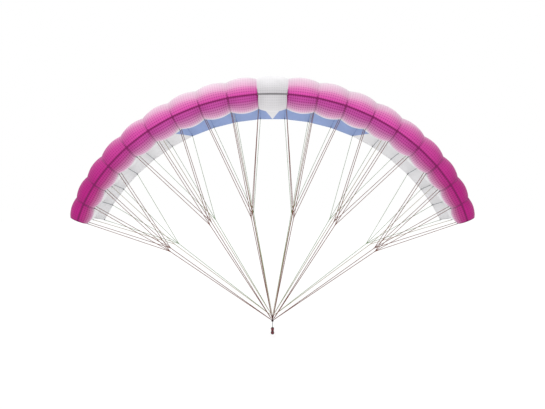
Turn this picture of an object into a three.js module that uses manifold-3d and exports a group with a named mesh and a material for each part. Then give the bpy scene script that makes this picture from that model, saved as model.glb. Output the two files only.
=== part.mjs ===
// A parawing with its control bar: an arched canopy of nineteen cells with a double-skin nose
// and a single-skin tail, rigged by cascaded lines to a short bar that is held in the hand.
// Millimetres. X runs along the span, the leading edge faces -Y and +Z is up.
// The origin is the middle of the bar.
import * as THREE from 'three';
import { mergeVertices } from 'three/addons/utils/BufferGeometryUtils.js';
import Module from 'manifold-3d';

const wasm = await Module();
wasm.setup();

// Arch and planform
const ARCH_RADIUS = 2000; // leading edge, from the axis of the arch
const ARCH_AXIS_HEIGHT = 92; // above the middle of the bar
const TIP_CURL = 11; // how far the tip's leading edge lies inside the arch
const CURL_POWER = 20;
const ROOT_CHORD = 1100;
const PLANFORM_TAPER = 0.77; // 0 keeps the chord constant, 1 is an ellipse that ends in a point
const LEAD_AHEAD_OF_BAR = 330; // leading edge in the middle of the span
const TIP_SWEEP = 280; // how far the leading edge trails at the tip
const SWEEP_POWER = 2.8;

// Cells, from the middle one out to the tip
const CELLS = [
  { name: 'mid', width: 259 },
  { name: '1', width: 256 },
  { name: '2', width: 253 },
  { name: '3', width: 247 },
  { name: '4', width: 243 },
  { name: '5', width: 238 },
  { name: '6', width: 233 },
  { name: '7', width: 215 },
  { name: '8', width: 203 },
  { name: '9', width: 176 },
];

// Rib section, as weights of a round-nosed curve from the front to the back of the chord
const UPPER_SECTION = { front: 0.5, middle: 0.46, back: 0.33 };
const LOWER_SECTION = { front: 0.465, middle: -0.348, back: 0 };
const LOWER_SKIN_END = 0.6; // of the chord
const RIB_TOP_END = 0.7; // of the chord, where the rib runs out under the upper skin
const BILLOW = 0.105; // rise of a panel between its ribs, of the cell's width
const BILLOW_POWER = 6; // how late along the chord the billow runs out
const NOSE_TUCK = 0.7; // share of the billow that the taut seam of the leading edge takes away
const TUCK_REACH = 40; // how far round the nose the tuck works

// Cloth and clearances
const SKIN = 2;
const RIB_SHEET = 1.6;
const GAP = 0.3;
const LINE_CLEARANCE = 2; // from a line's end to the cloth over it

// Diameters of the lines of each kind, and of the knot where upper lines meet a main line
const LINES = {
  front: { upper: 5.2, main: 5.8, knot: 10 },
  third: { upper: 5, main: 5.6, knot: 9.6 },
  rear: { upper: 4, main: 4.4, knot: 8 },
};
const LINE_SIDES = 6;
const LINE_KNOT_DETAIL = 0; // subdivisions of the icosahedron
const MAIN_START = 17; // from the middle of a leader's knot to the foot of a main line
const EYE = 3.6; // diameter of the whipped eye at the foot of a line set
const EYE_IN_MAIN = 1.5; // how far the eye runs in between the main lines
// Where a row of lines starts on its ribs, and how far outboard of the middle of its starts each
// group's main line is aimed
const ROWS = [
  {
    end: 'front', line: 'front', skin: 'lower', aft: 4 / 9, sparse: false,
    aside: { inner: 13, middle: 13, outer: 43 },
  },
  {
    end: 'front', line: 'front', skin: 'lower', aft: 2 / 3, sparse: false,
    aside: { inner: -14, middle: -14, outer: 17 },
  },
  {
    end: 'rear', line: 'third', skin: 'lower', aft: 1, sparse: true,
    aside: { inner: 0, middle: 0, outer: -97 },
  },
  {
    end: 'rear', line: 'rear', skin: 'upper', aft: 0.99, sparse: false,
    aside: { inner: 0, middle: 0, outer: 6 },
  },
];
// The ribs of a group, those that a sparse row ties to, and how far up the lines' knots are
const GROUPS = [
  { name: 'inner', ribs: [1, 2, 3], ties: [2], knotShare: { front: 0.5, rear: 0.5 } },
  { name: 'middle', ribs: [4, 5, 6], ties: [5], knotShare: { front: 0.54, rear: 0.542 } },
  { name: 'outer', ribs: [7, 8, 9, 10], ties: [8, 10], knotShare: { front: 0.583, rear: 0.583 } },
];

// Bar
const BAR_LENGTH = 300;
const BAR_TILT = -6.5 * THREE.MathUtils.DEG2RAD; // the front end is the higher one
const GRIP_LENGTH = 240;
const GRIP_RADIUS = 12;
const GRIP_ROUNDING = 2;
const CAP_RADIUS = 10;
const CAP_ROUNDING = 3;
const TURNED_SIDES = 24;
const LEADER = 4.6;
const LEADER_KNOT = 22;
const LEADER_KNOT_DETAIL = 2; // subdivisions of the icosahedron
const LOOP_CLEARANCE = 0.6; // from a leader's loop to the cap inside it
const LOOP_SIDES = 6;
const LOOP_STEPS = 20;
const LEADER_LOOP = CAP_RADIUS + LOOP_CLEARANCE + LEADER / 2; // centreline radius of the loop round a cap
const LEADERS = [
  { end: 'front', side: -1, length: 94 },
  { end: 'rear', side: 1, length: 103 },
];

const cloth = (color) => new THREE.MeshStandardMaterial({ color, roughness: 0.75 });
const MAGENTA_CLOTH = cloth(0xc65a9c);
const WHITE_CLOTH = cloth(0xe6e3e6);
const RIB_CLOTH = cloth(0xd2d2d2);
const FRONT_LINE = cloth(0x8c3a3a);
const REAR_LINE = cloth(0xa9c3a4);
const LEADER_CORD = cloth(0x6d7a74);
const GRIP_FOAM = new THREE.MeshStandardMaterial({ color: 0x6b2f3c, roughness: 0.85 });
const CAP_PLASTIC = new THREE.MeshStandardMaterial({ color: 0x2a2226, roughness: 0.6 });

const HALF_SPAN = CELLS.reduce((sum, cell, k) => sum + (k === 0 ? cell.width / 2 : cell.width), 0);

// The rib line at a distance along the leading edge from the middle of the span: its point of the
// leading edge seen from the front, how it leans from straight up, its chord and where it starts
function ribAt(arc) {
  const share = Math.abs(arc) / HALF_SPAN;
  const angle = arc / ARCH_RADIUS;
  const radius = ARCH_RADIUS - TIP_CURL * share ** CURL_POWER;
  const turn = Math.sign(arc) * CURL_POWER * (TIP_CURL / HALF_SPAN) * share ** (CURL_POWER - 1);
  return {
    edge: new THREE.Vector2(Math.sin(angle), Math.cos(angle)).multiplyScalar(radius),
    lean: angle + turn,
    chord: ROOT_CHORD * Math.sqrt(1 - (PLANFORM_TAPER * share) ** 2),
    lead: TIP_SWEEP * share ** SWEEP_POWER - LEAD_AHEAD_OF_BAR,
  };
}

// Ribs of the right half, from the middle out
const RIBS = [];
let arc = -CELLS[0].width / 2;
for (const cell of CELLS) {
  arc += cell.width;
  RIBS.push(ribAt(arc));
}

// Section of unit chord: wrap runs from below zero under the nose, through zero at the leading
// edge, to one at the trailing edge. Returns the distance along the chord and the height.
function section(wrap) {
  const weights = wrap < 0 ? LOWER_SECTION : UPPER_SECTION;
  const x = wrap * wrap;
  const fullness = weights.front * (1 - x) ** 2 + 2 * weights.middle * x * (1 - x) + weights.back * x * x;
  return new THREE.Vector2(x, wrap * (1 - x) * fullness);
}

function sectionNormal(wrap) {
  const step = 0.001;
  const run = section(wrap + step).sub(section(wrap - step)).normalize();
  return new THREE.Vector2(-run.y, run.x);
}

// A place of the section, aft and out, stood up in the plane of a rib that leans from straight up
function stoodUp(place, lean) {
  return new THREE.Vector3(place.y * Math.sin(lean), place.x, place.y * Math.cos(lean));
}

// A place on a rib's outline, aft and out from its leading edge, moved out of the skin by a distance
function outlinePlace(rib, wrap, out) {
  return section(wrap).multiplyScalar(rib.chord).addScaledVector(sectionNormal(wrap), out);
}

function ribPoint(rib, wrap, out) {
  const start = new THREE.Vector3(rib.edge.x, rib.lead, rib.edge.y);
  return start.add(stoodUp(outlinePlace(rib, wrap, out), rib.lean));
}

// A point on the cloth between two ribs, at a depth below its outer face
function clothPoint(from, to, across, wrap, width, depth) {
  const fromEdge = wrap * UPPER_SECTION.front * ROOT_CHORD;
  const tuck = 1 - NOSE_TUCK * Math.exp(-((fromEdge / TUCK_REACH) ** 2));
  const full = 4 * across * (1 - across) * (1 - Math.abs(wrap) ** BILLOW_POWER);
  const rise = BILLOW * width * full * tuck;
  const out = stoodUp(sectionNormal(wrap), THREE.MathUtils.lerp(from.lean, to.lean, across));
  return ribPoint(from, wrap, 0).lerp(ribPoint(to, wrap, 0), across).addScaledVector(out, rise - depth);
}

// A sheet made from a flat board: shape takes shares of its width, length and thickness
function drapedSheet(columns, rows, shape) {
  const geometry = new THREE.BoxGeometry(1, 1, 1, columns, rows, 1);
  const points = geometry.attributes.position;
  const corner = new THREE.Vector3();
  for (let k = 0; k < points.count; k += 1) {
    corner.fromBufferAttribute(points, k);
    const moved = shape(corner.x + 0.5, corner.y + 0.5, 0.5 - corner.z);
    points.setXYZ(k, moved.x, moved.y, moved.z);
  }
  geometry.computeVertexNormals();
  return geometry;
}

const PANEL_COLUMNS = 4;
const UPPER_ROWS = 12;
const LOWER_ROWS = 9;
const TIP_CHORD = RIBS[RIBS.length - 1].chord;
const NOSE_WRAP = GAP / 2 / (LOWER_SECTION.front * TIP_CHORD); // half the gap at the leading edge
const LOWER_WRAP = -Math.sqrt(LOWER_SKIN_END);
const upperWrap = (along) => THREE.MathUtils.lerp(NOSE_WRAP, 1, along);
const lowerWrap = (along) => THREE.MathUtils.lerp(LOWER_WRAP, -NOSE_WRAP, along);

function upperPanel(from, to, width) {
  const edge = GAP / 2 / width;
  return drapedSheet(PANEL_COLUMNS, UPPER_ROWS, (across, along, down) => {
    const inside = THREE.MathUtils.lerp(edge, 1 - edge, across);
    return clothPoint(from, to, inside, upperWrap(along), width, down * SKIN);
  });
}

// A run of lower panels sewn edge to edge over the given ribs
function lowerRun(ribs, widths) {
  const cells = widths.length;
  return drapedSheet(PANEL_COLUMNS * cells, LOWER_ROWS, (across, along, down) => {
    const edge = GAP / 2 / (widths[0] * cells);
    const place = THREE.MathUtils.lerp(edge, 1 - edge, across) * cells;
    const cell = Math.min(Math.floor(place), cells - 1);
    const depth = down * SKIN;
    return clothPoint(ribs[cell], ribs[cell + 1], place - cell, lowerWrap(along), widths[cell], depth);
  });
}

// A rib, flat in the plane of the chord, set in from both skins along their own rows
function ribGeometry(rib) {
  const inset = -(SKIN + GAP);
  const wraps = [];
  for (let row = 0; row <= LOWER_ROWS; row += 1) {
    wraps.push(lowerWrap(row / LOWER_ROWS));
  }
  for (let row = 0; upperWrap(row / UPPER_ROWS) ** 2 < RIB_TOP_END; row += 1) {
    wraps.push(upperWrap(row / UPPER_ROWS));
  }
  const outline = wraps.map((wrap) => {
    const place = outlinePlace(rib, wrap, inset);
    return new THREE.Vector2(rib.lead + place.x, place.y);
  });
  const shape = new THREE.Shape(outline.reverse());
  const geometry = new THREE.ExtrudeGeometry(shape, { depth: RIB_SHEET, bevelEnabled: false });
  geometry.translate(0, 0, -RIB_SHEET / 2);
  return geometry.rotateX(Math.PI / 2).rotateZ(Math.PI / 2);
}

const WELD = 1e-4; // vertices closer than this are one

// Joins closed geometries into one body
function fused(geometries) {
  const solids = geometries.map((geometry) => {
    const bare = new THREE.BufferGeometry();
    bare.setAttribute('position', geometry.attributes.position);
    bare.setIndex(geometry.index);
    const welded = mergeVertices(bare, WELD);
    const mesh = new wasm.Mesh({
      numProp: 3,
      vertProperties: new Float32Array(welded.attributes.position.array),
      triVerts: new Uint32Array(welded.index.array),
    });
    return new wasm.Manifold(mesh);
  });
  const mesh = wasm.Manifold.union(solids).getMesh();
  const joined = new THREE.BufferGeometry();
  joined.setAttribute('position', new THREE.BufferAttribute(mesh.vertProperties, 3));
  joined.setIndex(new THREE.BufferAttribute(mesh.triVerts, 1));
  joined.computeVertexNormals();
  return joined;
}

function strand(from, to, diameter) {
  const along = new THREE.Vector3().subVectors(to, from);
  const geometry = new THREE.CylinderGeometry(diameter / 2, diameter / 2, along.length(), LINE_SIDES);
  const turn = new THREE.Quaternion();
  turn.setFromUnitVectors(new THREE.Vector3(0, 1, 0), along.clone().normalize());
  geometry.applyQuaternion(turn);
  const middle = from.clone().lerp(to, 0.5);
  return geometry.translate(middle.x, middle.y, middle.z);
}

function bead(centre, diameter, detail) {
  const geometry = new THREE.IcosahedronGeometry(diameter / 2, detail);
  return geometry.translate(centre.x, centre.y, centre.z);
}

// A point of the tilted bar: along it towards the rear, and up from its axis
function onBar(along, up) {
  return new THREE.Vector3(0, along, up).applyAxisAngle(new THREE.Vector3(1, 0, 0), BAR_TILT);
}

const LOOP_STATION = (BAR_LENGTH + GRIP_LENGTH) / 4;
const leaderFoot = (leader) => onBar(leader.side * LOOP_STATION, LEADER_LOOP);
const leaderKnot = (leader) => leaderFoot(leader).add(new THREE.Vector3(0, 0, leader.length));

function leaderGeometry(leader) {
  const knot = leaderKnot(leader);
  const loop = new THREE.TorusGeometry(LEADER_LOOP, LEADER / 2, LOOP_SIDES, LOOP_STEPS);
  const centre = onBar(leader.side * LOOP_STATION, 0);
  loop.rotateX(Math.PI / 2 + BAR_TILT).translate(centre.x, centre.y, centre.z);
  const stopper = bead(knot, LEADER_KNOT, LEADER_KNOT_DETAIL);
  return fused([loop, strand(leaderFoot(leader), knot, LEADER), stopper]);
}

// Where a line of a row ends under a rib: against the lower skin, or inside the upper one
function lineTop(rib, row) {
  const lower = row.skin === 'lower';
  const wrap = lower ? lowerWrap(1 - row.aft) : upperWrap(row.aft);
  const out = lower ? LINE_CLEARANCE : -SKIN - LINE_CLEARANCE;
  return ribPoint(rib, wrap, out).add(new THREE.Vector3(0, 0, ARCH_AXIS_HEIGHT));
}

// One group's lines to one end of the bar: upper lines, their knots, the main lines and their eye
function lineSet(leader, group) {
  const knot = leaderKnot(leader);
  const heading = new THREE.Vector3();
  const pieces = [];
  const rows = ROWS.filter((row) => row.end === leader.end);
  for (const row of rows) {
    const ribs = row.sparse ? group.ties : group.ribs;
    const tops = ribs.map((number) => lineTop(RIBS[number - 1], row));
    const aim = new THREE.Vector3();
    tops.forEach((top) => aim.addScaledVector(top, 1 / tops.length));
    const outboard = new THREE.Vector3(aim.z - ARCH_AXIS_HEIGHT, 0, -aim.x).normalize();
    aim.addScaledVector(outboard, row.aside[group.name]);
    const split = knot.clone().lerp(aim, tops.length > 1 ? group.knotShare[leader.end] : 1);
    const away = split.clone().sub(knot).normalize();
    const foot = knot.clone().addScaledVector(away, MAIN_START);
    heading.addScaledVector(away, 1 / rows.length);
    const line = LINES[row.line];
    pieces.push(strand(foot, split, line.main));
    if (tops.length > 1) {
      pieces.push(bead(split, line.knot, LINE_KNOT_DETAIL));
      tops.forEach((top) => pieces.push(strand(split, top, line.upper)));
    }
  }
  heading.normalize();
  const eyeStart = knot.clone().addScaledVector(heading, LEADER_KNOT / 2 + GAP);
  const eyeEnd = knot.clone().addScaledVector(heading, MAIN_START + EYE_IN_MAIN);
  pieces.push(strand(eyeStart, eyeEnd, EYE));
  return fused(pieces);
}

// A turned piece of the bar between two distances along it, with rounded rims
function turned(start, end, radius, rounding) {
  const profile = [
    new THREE.Vector2(0, start),
    new THREE.Vector2(radius - rounding, start),
    new THREE.Vector2(radius, start + rounding),
    new THREE.Vector2(radius, end - rounding),
    new THREE.Vector2(radius - rounding, end),
    new THREE.Vector2(0, end),
  ];
  return new THREE.LatheGeometry(profile, TURNED_SIDES);
}

function add(group, name, geometry, material) {
  const mesh = new THREE.Mesh(geometry, material);
  mesh.name = name;
  group.add(mesh);
  return mesh;
}

const parawing = new THREE.Group();
parawing.name = 'parawing';

const canopy = new THREE.Group();
canopy.position.z = ARCH_AXIS_HEIGHT;
parawing.add(canopy);

const midRibs = [ribAt(-CELLS[0].width / 2), RIBS[0]];
add(canopy, 'upper_panel_mid', upperPanel(...midRibs, CELLS[0].width), WHITE_CLOTH);
add(canopy, 'lower_skin_mid', lowerRun(midRibs, [CELLS[0].width]), WHITE_CLOTH);

for (const [side, sign] of [['left', -1], ['right', 1]]) {
  const half = new THREE.Group();
  half.scale.x = sign;
  canopy.add(half);
  const outer = CELLS.slice(1);
  outer.forEach((cell, k) => {
    const panel = upperPanel(RIBS[k], RIBS[k + 1], cell.width);
    add(half, `upper_panel_${side}_${cell.name}`, panel, MAGENTA_CLOTH);
  });
  RIBS.forEach((rib, k) => {
    const mesh = add(half, `rib_${side}_${k + 1}`, ribGeometry(rib), RIB_CLOTH);
    mesh.position.set(rib.edge.x, 0, rib.edge.y);
    mesh.rotation.y = rib.lean;
  });
  const run = lowerRun(RIBS, outer.map((cell) => cell.width));
  add(half, `lower_skin_${side}`, run, MAGENTA_CLOTH);

  const rigging = new THREE.Group();
  rigging.scale.x = sign;
  parawing.add(rigging);
  for (const leader of LEADERS) {
    const material = leader.end === 'front' ? FRONT_LINE : REAR_LINE;
    for (const group of GROUPS) {
      add(rigging, `${leader.end}_lines_${side}_${group.name}`, lineSet(leader, group), material);
    }
  }
}

for (const leader of LEADERS) {
  add(parawing, `${leader.end}_leader`, leaderGeometry(leader), LEADER_CORD);
}

const bar = new THREE.Group();
bar.rotation.x = BAR_TILT;
parawing.add(bar);
const gripEnd = GRIP_LENGTH / 2;
const barEnd = BAR_LENGTH / 2;
add(bar, 'bar_grip', turned(-gripEnd, gripEnd, GRIP_RADIUS, GRIP_ROUNDING), GRIP_FOAM);
add(bar, 'bar_front_cap', turned(-barEnd, -gripEnd - GAP, CAP_RADIUS, CAP_ROUNDING), CAP_PLASTIC);
add(bar, 'bar_rear_cap', turned(gripEnd + GAP, barEnd, CAP_RADIUS, CAP_ROUNDING), CAP_PLASTIC);

export default parawing;
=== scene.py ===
"""Dresses a packed parawing: printed ripstop skins, sewn seams, tabs, braided lines and the hand bar.

Metres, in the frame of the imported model: X runs along the span, the leading edge faces -Y,
+Z is up and the origin is the middle of the bar.
"""

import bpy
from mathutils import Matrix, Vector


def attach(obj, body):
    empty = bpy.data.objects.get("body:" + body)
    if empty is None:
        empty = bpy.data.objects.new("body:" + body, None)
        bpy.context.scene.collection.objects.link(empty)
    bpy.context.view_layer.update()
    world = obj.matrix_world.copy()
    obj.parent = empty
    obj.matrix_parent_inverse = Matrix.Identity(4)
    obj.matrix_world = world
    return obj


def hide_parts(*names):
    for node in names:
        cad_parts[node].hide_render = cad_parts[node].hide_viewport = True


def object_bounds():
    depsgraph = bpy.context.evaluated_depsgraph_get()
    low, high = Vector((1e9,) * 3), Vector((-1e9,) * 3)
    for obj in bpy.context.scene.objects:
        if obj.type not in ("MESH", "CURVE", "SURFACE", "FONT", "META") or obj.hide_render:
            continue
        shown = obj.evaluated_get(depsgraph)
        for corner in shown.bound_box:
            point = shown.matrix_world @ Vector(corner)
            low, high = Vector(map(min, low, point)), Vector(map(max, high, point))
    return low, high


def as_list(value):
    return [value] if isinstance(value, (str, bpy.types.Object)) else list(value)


bl_info = {
    "name": "Parawing with Control Bar",
    "version": (1, 0, 0),
    "blender": (4, 5, 0),
    "location": "View3D > Sidebar > Parawing",
    "description": "Builds the cloth, seams, lines and bar of a parawing on its packed frame",
    "category": "Add Mesh",
}

import math
from functools import partial
from itertools import product

import bpy
import numpy as np
from mathutils import Matrix, Vector

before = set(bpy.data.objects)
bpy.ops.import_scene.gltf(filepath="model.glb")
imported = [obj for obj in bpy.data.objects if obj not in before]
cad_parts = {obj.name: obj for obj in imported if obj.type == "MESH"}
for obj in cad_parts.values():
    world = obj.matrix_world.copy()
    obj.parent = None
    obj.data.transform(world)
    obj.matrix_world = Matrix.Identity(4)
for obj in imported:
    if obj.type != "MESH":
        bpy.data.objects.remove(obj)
CAD_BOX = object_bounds()
BODY = "root"

# Cells from the middle one out to the tip, in metres along the leading edge
CELL_WIDTHS = (0.259, 0.256, 0.253, 0.247, 0.243, 0.238, 0.233, 0.215, 0.203, 0.176)
OUTER_CELLS = len(CELL_WIDTHS) - 1
CELL_COUNT = 2 * OUTER_CELLS + 1

# Rib outline of unit chord, as weights of a round-nosed curve from front to back
UPPER_SECTION = (0.5, 0.46, 0.33)
LOWER_SECTION = (0.465, -0.348, 0.0)
BILLOW_FLATTENING = 6  # how late along the chord a panel's billow runs out
ARC_SAMPLES = 2001

# Sewing pattern of the tail, in shares of the chord
TAIL_SEAM = 0.6
SLANT_END = 0.69
TONGUE_SHOULDER = 0.75
BLUE_CELLS = 3  # each side of the middle cell
SLANT_CELL = 4  # the cell that the slanted end of the blue crosses

# Mesh fineness
UPPER_GRID = (20, 120)
TAIL_GRID = (20, 48)
LOWER_GRID = (20, 96)
RIB_GRID = (48, 8)
TAPE_GRID = (16, 4)
NOSE_SEAM_GRID = (40, 4)
TAIL_TAPE_GRID = (24, 4)
LINE_SIDES = 8
CORD_SIDES = 12
WHIP_SIDES = 6
TURNED_SIDES = 48
COIL_STEPS = 16  # to a turn
BALL_POLE = math.radians(20)  # left open at both ends of a wound knot
CUT_SAMPLES = 41
MERGE_DISTANCE = 1e-5
# Angles up to which a mesh is shaded smooth
SMOOTH_CLOTH = math.radians(40)
SMOOTH_CORD = math.radians(50)
SMOOTH_BAR = math.radians(35)

# Small relief of the cloth
PUCKER_REACH = 0.016
PUCKER_PITCH = 0.058
PUCKER_DEPTH = 0.0011
CREASES = ((-0.030, 0.10), (-0.052, -0.06), (-0.078, 0.05))  # place under the nose, slope
CREASE_DEPTH = 0.0022
CREASE_WIDTH = 0.006
GOLDEN = 2.399963  # turns that never line up, for a phase to each cell

# Rows of lines: where a row starts on its ribs, and how far outboard of the middle of its starts
# each group's main line is aimed
LINE_ROWS = (
    {"end": "front", "line": "front", "skin": "lower", "aft": 4 / 9, "ties_only": False,
     "aside": {"inner": 0.013, "middle": 0.013, "outer": 0.043}},
    {"end": "front", "line": "front", "skin": "lower", "aft": 2 / 3, "ties_only": False,
     "aside": {"inner": -0.014, "middle": -0.014, "outer": 0.017}},
    {"end": "rear", "line": "third", "skin": "lower", "aft": 1.0, "ties_only": True,
     "aside": {"inner": 0.0, "middle": 0.0, "outer": -0.097}},
    {"end": "rear", "line": "rear", "skin": "upper", "aft": 0.99, "ties_only": False,
     "aside": {"inner": 0.0, "middle": 0.0, "outer": 0.006}},
)
# The ribs of a group, those that a sparse row ties to, and how far up the lines' knots are
LINE_GROUPS = (
    {"name": "inner", "ribs": (1, 2, 3), "ties": (2,), "front": 0.5, "rear": 0.5},
    {"name": "middle", "ribs": (4, 5, 6), "ties": (5,), "front": 0.54, "rear": 0.542},
    {"name": "outer", "ribs": (7, 8, 9, 10), "ties": (8, 10), "front": 0.583, "rear": 0.583},
)
ENDS = ("front", "rear")
SIDES = ("left", "right")
LINE_KINDS = {"front": ("front",), "rear": ("third", "rear")}  # at each end of the bar
SKIN = 0.002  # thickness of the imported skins
SEWING_GAP = 0.0003
LINE_CLEARANCE = 0.002
EYE_IN_MAIN = 0.0015  # how far the eye of a set runs in between its main lines
EYE_IN_KNOT = 0.0012  # and into the leader's knot
FOOT_TAPER = 0.009  # over which the foot of a main line thins down to the eye

# Photograph
IMAGE_WIDTH = 545
FOCAL_PIXELS = 472.0
SENSOR_WIDTH = 36.0
CAMERA_PLACE = (0.0, -4.33, 1.102)
CAMERA_PITCH = math.radians(90.68)


def linear(red, green, blue):
    """Scene-linear colour of an 8-bit display colour."""
    return tuple(((part / 255 + 0.055) / 1.055) ** 2.4 for part in (red, green, blue))


def length(label, text, default):
    """A size in metres."""
    return bpy.props.FloatProperty(
        name=label, description=text, default=default, min=0.0, unit="LENGTH", precision=4
    )


def lengths(label, text, *defaults):
    """Several sizes in metres."""
    count = len(defaults)
    return bpy.props.FloatVectorProperty(
        name=label, description=text, default=defaults, size=count, min=0.0, unit="LENGTH", precision=4
    )


def share(label, text, default):
    """A share or other bare number."""
    return bpy.props.FloatProperty(name=label, description=text, default=default, precision=3)


def colour(label, text, *display):
    """A colour, given as the display shows it."""
    return bpy.props.FloatVectorProperty(
        name=label, description=text, default=linear(*display), min=0.0, max=1.0, subtype="COLOR"
    )


class ParawingCanopySizes(bpy.types.PropertyGroup):
    """Sizes of the wing."""

    arch_radius: length("Arch radius", "Leading edge, from the axis of the arch", 2.0)
    arch_height: length("Arch axis height", "Axis of the arch above the bar", 0.092)
    tip_curl: length("Tip curl", "How far the tip's leading edge lies inside the arch", 0.011)
    curl_power: share("Curl power", "How late along the span the curl sets in", 20.0)
    root_chord: length("Root chord", "Chord in the middle of the span", 1.1)
    taper: share("Taper", "0 keeps the chord constant, 1 ends it in a point", 0.77)
    lead_ahead: length("Lead ahead", "Leading edge ahead of the bar, mid span", 0.33)
    tip_sweep: length("Tip sweep", "How far the leading edge trails at the tip", 0.28)
    sweep_power: share("Sweep power", "How late along the span the sweep sets in", 2.8)
    billow: share("Billow", "Rise of a panel between its ribs, of the cell's width", 0.105)
    nose_tuck: share("Nose tuck", "Share of the billow that the taut leading edge takes away", 0.7)
    tuck_reach: length("Tuck reach", "How far round the nose the tuck works", 0.04)
    lower_end: share("Lower skin end", "Where the lower skin ends, of the chord", 0.6)
    rib_end: share("Rib end", "Where a rib runs out under the upper skin, of the chord", 0.694)
    cloth: length("Cloth", "Thickness of a skin", 0.001)
    rib_cloth: length("Rib cloth", "Thickness of a rib", 0.001)
    nose_tape: length("Nose tape", "Width of the tape along the leading edge", 0.0115)
    tail_tape: length("Tail tape", "Width of the tapes under the tail", 0.0055)
    hem: length("Hem", "Width of the hem along the trailing edge", 0.009)
    tape: length("Tape", "Thickness of a tape or a hem", 0.0007)


class ParawingRiggingSizes(bpy.types.PropertyGroup):
    """Sizes of the lines, their tabs and the leaders."""

    front_line: lengths("Front lines", "Diameters: upper line, main line and knot", 0.0052, 0.0058, 0.01)
    third_line: lengths("Third row", "Diameters: upper line, main line and knot", 0.005, 0.0056, 0.0096)
    rear_line: lengths("Rear lines", "Diameters: upper line, main line and knot", 0.004, 0.0044, 0.008)
    main_start: length("Main start", "From the middle of a leader's knot to the foot of a main line", 0.017)
    whipping: length("Whipping", "Diameter of the thread whipped round a main line", 0.0008)
    eye: length("Eye", "Diameter of the eye at the foot of a set of lines", 0.0036)
    tab_width: length("Tab width", "Width of a sewn tab", 0.0085)
    tab_length: length("Tab length", "How far a tab stands off the cloth", 0.014)
    tab: length("Tab", "Thickness of a sewn tab", 0.0062)
    leader: length("Leader", "Diameter of a leader", 0.0046)
    leader_knot: length("Leader knot", "Diameter of the stopper knot", 0.022)
    front_leader: length("Front leader", "From the bar to the front knot", 0.094)
    rear_leader: length("Rear leader", "From the bar to the rear knot", 0.103)


class ParawingBarSizes(bpy.types.PropertyGroup):
    """Sizes of the hand bar."""

    bar_length: length("Length", "Bar with its caps", 0.3)
    tilt: bpy.props.FloatProperty(
        name="Tilt", description="Front end up", default=math.radians(-6.5), subtype="ANGLE"
    )
    grip_length: length("Grip length", "Foam grip", 0.24)
    grip_radius: length("Grip radius", "Foam grip", 0.012)
    cap_radius: length("Cap radius", "End cap", 0.01)
    cap_gap: length("Cap gap", "Between the grip and a cap", 0.0003)
    loop_gap: length("Loop gap", "Between a cap and the leader round it", 0.0006)


class ParawingColours(bpy.types.PropertyGroup):
    """Colours of the cloth, lines and bar."""

    white: colour("White", "Bare cloth", 238, 237, 239)
    shade: colour("Shade", "Grey print on the middle cell", 204, 201, 204)
    magenta: colour("Magenta", "Print over the nose", 220, 76, 172)
    # Under the nose the print is partly painted shade: its full ink is darker than the upper print's and
    # darkest next to the leading edge, and it turns paler where it fades
    under: colour("Under magenta", "Print under the nose", 188, 62, 153)
    pale_under: colour("Pale under magenta", "Print under the nose where it fades", 228, 104, 187)
    # Deep magenta is partly the print's stronger ink and partly painted shade on the tips, which face away
    # from the light
    deep: colour("Deep magenta", "Print towards the tips", 182, 22, 128)
    blue: colour("Blue", "Tail panels", 149, 169, 216)
    # The nose tape and the pale tape are partly painted shade of the fold along the leading edge seam: each
    # is a darker copy of the cloth it lies on
    nose_tape: colour("Nose tape", "Tape over the magenta nose", 124, 6, 88)
    seam_end: colour("Seam end", "Ends of the rib seams", 150, 88, 128)
    pale_tape: colour("Pale tape", "Tape over the white cell", 112, 110, 112)
    tail_tape: colour("Tail tape", "Tapes under the white tail", 136, 140, 144)
    blue_tape: colour("Blue tape", "Tapes under the blue tail", 112, 130, 178)
    tab: colour("Tab", "Webbing tabs", 120, 118, 122)
    front_line: colour("Front line", "Sheath of the front lines", 139, 84, 68)
    third_line: colour("Third line", "Sheath of the third row", 198, 186, 156)
    rear_line: colour("Rear line", "Sheath of the rear lines", 96, 148, 50)
    leader: colour("Leader", "Sheath of the leaders", 64, 80, 72)
    knot: colour("Knot", "Stopper knots", 62, 20, 32)
    grip: colour("Grip", "Foam", 136, 14, 46)
    cap: colour("Cap", "Moulded end caps", 112, 8, 36)
    floor: colour("Floor", "Studio floor", 255, 255, 255)


# Form of the wing


def section(wrap):
    """Distance along the chord and height of the rib outline: wrap is below 0 under the nose,
    0 at the leading edge and 1 at the trailing edge."""
    wrap = np.asarray(wrap, float)
    under = wrap < 0
    front, middle, back = (np.where(under, low, high) for low, high in zip(LOWER_SECTION, UPPER_SECTION))
    x = wrap * wrap
    fullness = front * (1 - x) ** 2 + 2 * middle * x * (1 - x) + back * x * x
    return x, wrap * (1 - x) * fullness


def section_normal(wrap, step=0.001):
    """Outward direction of the rib outline, along the chord and up."""
    x_ahead, y_ahead = section(wrap + step)
    x_back, y_back = section(wrap - step)
    run = np.hypot(x_ahead - x_back, y_ahead - y_back)
    return -(y_ahead - y_back) / run, (x_ahead - x_back) / run


SAMPLED_WRAP = np.linspace(0, 1, ARC_SAMPLES)


def sampled_arc(sign):
    """Length round the outline from the leading edge to each sampled wrap, for a unit chord."""
    x, y = section(sign * SAMPLED_WRAP)
    return np.concatenate([[0.0], np.cumsum(np.hypot(np.diff(x), np.diff(y)))])


UPPER_ARC = sampled_arc(1)
LOWER_ARC = sampled_arc(-1)


def arc_at(wrap):
    """Length round the outline from the leading edge, below 0 under the nose."""
    over = np.interp(wrap, SAMPLED_WRAP, UPPER_ARC)
    under = np.interp(np.negative(wrap), SAMPLED_WRAP, LOWER_ARC)
    return np.where(np.less(wrap, 0), -under, over)


def wrap_at(arc):
    """The wrap at a length round the outline."""
    over = np.interp(arc, UPPER_ARC, SAMPLED_WRAP)
    under = np.interp(np.negative(arc), LOWER_ARC, SAMPLED_WRAP)
    return np.where(np.less(arc, 0), -under, over)


def mixed(first, last, part):
    """The value between two others."""
    return first + (last - first) * part


def stacked(*parts):
    """Points from their coordinates."""
    return np.stack(np.broadcast_arrays(*parts), axis=-1)


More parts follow.
